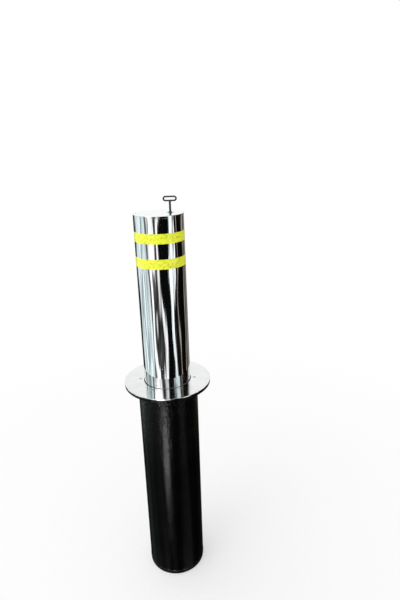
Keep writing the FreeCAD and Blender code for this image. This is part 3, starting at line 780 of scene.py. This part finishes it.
def make_floor():
    """A pale floor that fades into the white background."""
    radius = 30.0
    mesh = prism("floor", 96, radius, -50 * MM, -0.5 * MM)
    floor = new_piece("floor", mesh, None, None)
    material = bpy.data.materials.new("pale_floor")
    nodes = Nodes(material)
    shader = nodes.tree.nodes["Principled BSDF"]
    shader.inputs["Roughness"].default_value = 0.9
    shader.inputs["Specular IOR Level"].default_value = 0.1
    place = object_place(nodes)
    speckle = nodes.noise(place, 60.0, 4.0)
    nodes.link(shader, {"Base Color": nodes.ramp(speckle, (0.3, 0.9), (0.7, 0.93))})
    glow = nodes.add("Emission", {"Color": WHITE, "Strength": 1.0})
    distance = nodes.add("VectorMath", {0: place}, operation="LENGTH").outputs["Value"]
    blend = nodes.add("MixShader", {0: nodes.span(distance, 0.3, 2.2, 0.45, 1.0), 1: shader.outputs[0],
                                    2: glow.outputs[0]})
    nodes.link(nodes.tree.nodes["Material Output"], {"Surface": blend.outputs[0]})
    floor.data.materials.append(material)
    floor.visible_glossy = False


# What the mirror-polished steel sees around it: (azimuth from the viewer in degrees, brightness, tint).
SURROUNDINGS = [
    (-180, 0.05, "cool"), (-140, 0.02, "cool"), (-126, 1.1, "cool"), (-104, 1.3, "cool"),
    (-98, 0.35, "cool"), (-88, 1.2, "cool"), (-74, 1.0, "cool"), (-69, 0.12, "cool"),
    (-61, 0.2, "cool"), (-56, 1.5, "plain"), (-41, 1.6, "plain"), (-35, 0.08, "plain"),
    (-22, 0.03, "plain"), (-17, 1.0, "plain"), (-5, 1.3, "plain"), (0, 0.004, "plain"),
    (35, 0.004, "cool"), (40, 1.5, "cool"), (57, 1.4, "plain"), (62, 0.004, "plain"),
    (77, 0.01, "warm"), (81, 0.5, "warm"), (86, 0.004, "warm"), (112, 0.004, "warm"),
    (119, 0.5, "warm"), (126, 0.01, "warm"), (145, 0.3, "warm"), (166, 0.2, "warm"), (180, 0.05, "cool"),
]
TINTS = {"cool": (0.84, 0.98, 1.0), "plain": (1.0, 1.0, 1.0), "warm": (1.0, 0.9, 0.76)}
STRIP_AZIMUTH = math.radians(-22)
STRIP_COLOUR = (36.0, 34.0, 35.6)
CEILING = (1.15, 1.15, 1.15)
LIT_SIDE = (1.36, 1.36, 1.36)
DIM_SIDE = (0.56, 0.56, 0.56)


def wavy_panels(nodes, direction, turned):
    """Upright panels with wavering edges, broken up by finer slats."""
    broad = nodes.noise(nodes.scaled(direction, (1.0, 1.0, 3.2)), 1.7, 1.0)
    ragged = nodes.noise(nodes.scaled(direction, (3.0, 3.0, 1.0)), 5.0, 3.0)
    wander = nodes.maths("ADD", nodes.span(broad, 0.25, 0.75, -0.3, 0.3),
                         nodes.span(ragged, 0.25, 0.75, -0.09, 0.09))
    wavy = nodes.maths("ADD", turned, wander)
    share = nodes.maths("FRACT", nodes.maths("ADD", nodes.maths("MULTIPLY", wavy, 1 / math.tau), 1.5))
    stops = [((azimuth + 180) / 360, tuple(brightness * t for t in TINTS[tint]))
             for azimuth, brightness, tint in SURROUNDINGS]
    panels = nodes.ramp(share, *stops, interpolation="EASE")
    level = nodes.vector("NORMALIZE", nodes.scaled(direction, (1, 1, 0)))
    upright = nodes.vector("ADD", nodes.scaled(level, (7.0, 7.0, 1)),
                           nodes.scaled(direction, (0.8, 0.8, 2.5)))
    slats = nodes.noise(upright, 2.0, 3.0, 0.6)
    return nodes.mix(0.75, panels, nodes.span(slats, 0.36, 0.56, 0.12, 1.3), "MULTIPLY")


def low_strip(nodes, height, turned):
    """How strongly a direction falls in the bright strip low in front, which lights the sleeve's coating."""
    aside = nodes.maths("ABSOLUTE", nodes.maths("SUBTRACT", turned, STRIP_AZIMUTH))
    side = nodes.span(aside, math.radians(5), math.radians(12), 1.0, 0.0)
    rise = nodes.span(height, math.radians(-39.5), math.radians(-33), 0.0, 1.0)
    end = nodes.span(height, math.radians(-31.5), math.radians(-30.5), 1.0, 0.0)
    return nodes.maths("MULTIPLY", side, nodes.maths("MULTIPLY", nodes.maths("POWER", rise, 2.0), end))


def make_world():
    """White studio walls for the eye and the matt surfaces, and soft upright panels for the reflections."""
    world = bpy.data.worlds.new("studio")
    bpy.context.scene.world = world
    nodes = Nodes(world)
    direction = nodes.add("TexCoord").outputs["Generated"]
    parts = nodes.add("SeparateXYZ", {0: direction})
    azimuth = nodes.maths("ARCTAN2", parts.outputs[0], nodes.maths("MULTIPLY", parts.outputs[1], -1.0))
    height = nodes.maths("ARCSINE", parts.outputs[2])
    turned = nodes.maths("SUBTRACT", azimuth, math.radians(EYE_AZIMUTH))

    shaded = nodes.span(height, math.radians(-33.5), math.radians(-29.5), 0.11, 1.0)
    steep = nodes.span(height, math.radians(-58), math.radians(-47), 0.8, 0.0)
    below = nodes.maths("MAXIMUM", shaded, steep)
    walls = nodes.mix(below, (0, 0, 0), wavy_panels(nodes, direction, turned))
    lit = nodes.mix(low_strip(nodes, height, turned), walls, STRIP_COLOUR)
    rim = nodes.span(nodes.maths("ABSOLUTE", turned), 2.0, 2.6, math.radians(48), math.radians(2))
    above = nodes.add("MapRange", {"Value": height, "From Min": rim,
                                   "From Max": nodes.maths("ADD", rim, 0.07)})
    seen = nodes.mix(above.outputs["Result"], lit, CEILING)

    side = nodes.maths("SINE", turned)
    soft = nodes.mix(nodes.span(side, -1.0, 1.0, 0.0, 1.0), LIT_SIDE, DIM_SIDE)
    rays = nodes.add("LightPath")
    matt = nodes.mix(rays.outputs["Is Camera Ray"], soft, WHITE)
    colour = nodes.mix(rays.outputs["Is Glossy Ray"], matt, seen)
    nodes.link(nodes.tree.nodes["Background"], {"Color": colour, "Strength": 1.0})


def make_lights():
    """One large soft light above and to the left."""
    data = bpy.data.lights.new("soft_key", "AREA")
    data.shape = "RECTANGLE"
    data.size = 1.6
    data.size_y = 1.6
    data.energy = 16
    light = bpy.data.objects.new("soft_key", data)
    light.location = (-1.6, -1.5, 3.0)
    light.rotation_euler = (Vector((0, 0, 0.9)) - light.location).to_track_quat("-Z", "Y").to_euler()
    bpy.context.scene.collection.objects.link(light)


def make_camera():
    data = bpy.data.cameras.new("viewer")
    data.lens = PHOTO_LENS * CLOSER
    camera = bpy.data.objects.new("viewer", data)
    turn = Matrix.Rotation(math.pi / 2 - LOOK_DOWN, 4, "X") @ Matrix.Rotation(TILT, 4, "Z")
    camera.matrix_world = Matrix.Translation(EYE) @ turn
    bpy.context.scene.collection.objects.link(camera)
    bpy.context.scene.camera = camera


make_camera()
make_world()
make_lights()
make_floor()
make_sleeve()
make_base()
make_flange()
make_wiper()
make_post()
make_bands()
make_cap()
make_key()
dress_frame()
bpy.context.scene.view_settings.view_transform = "Standard"
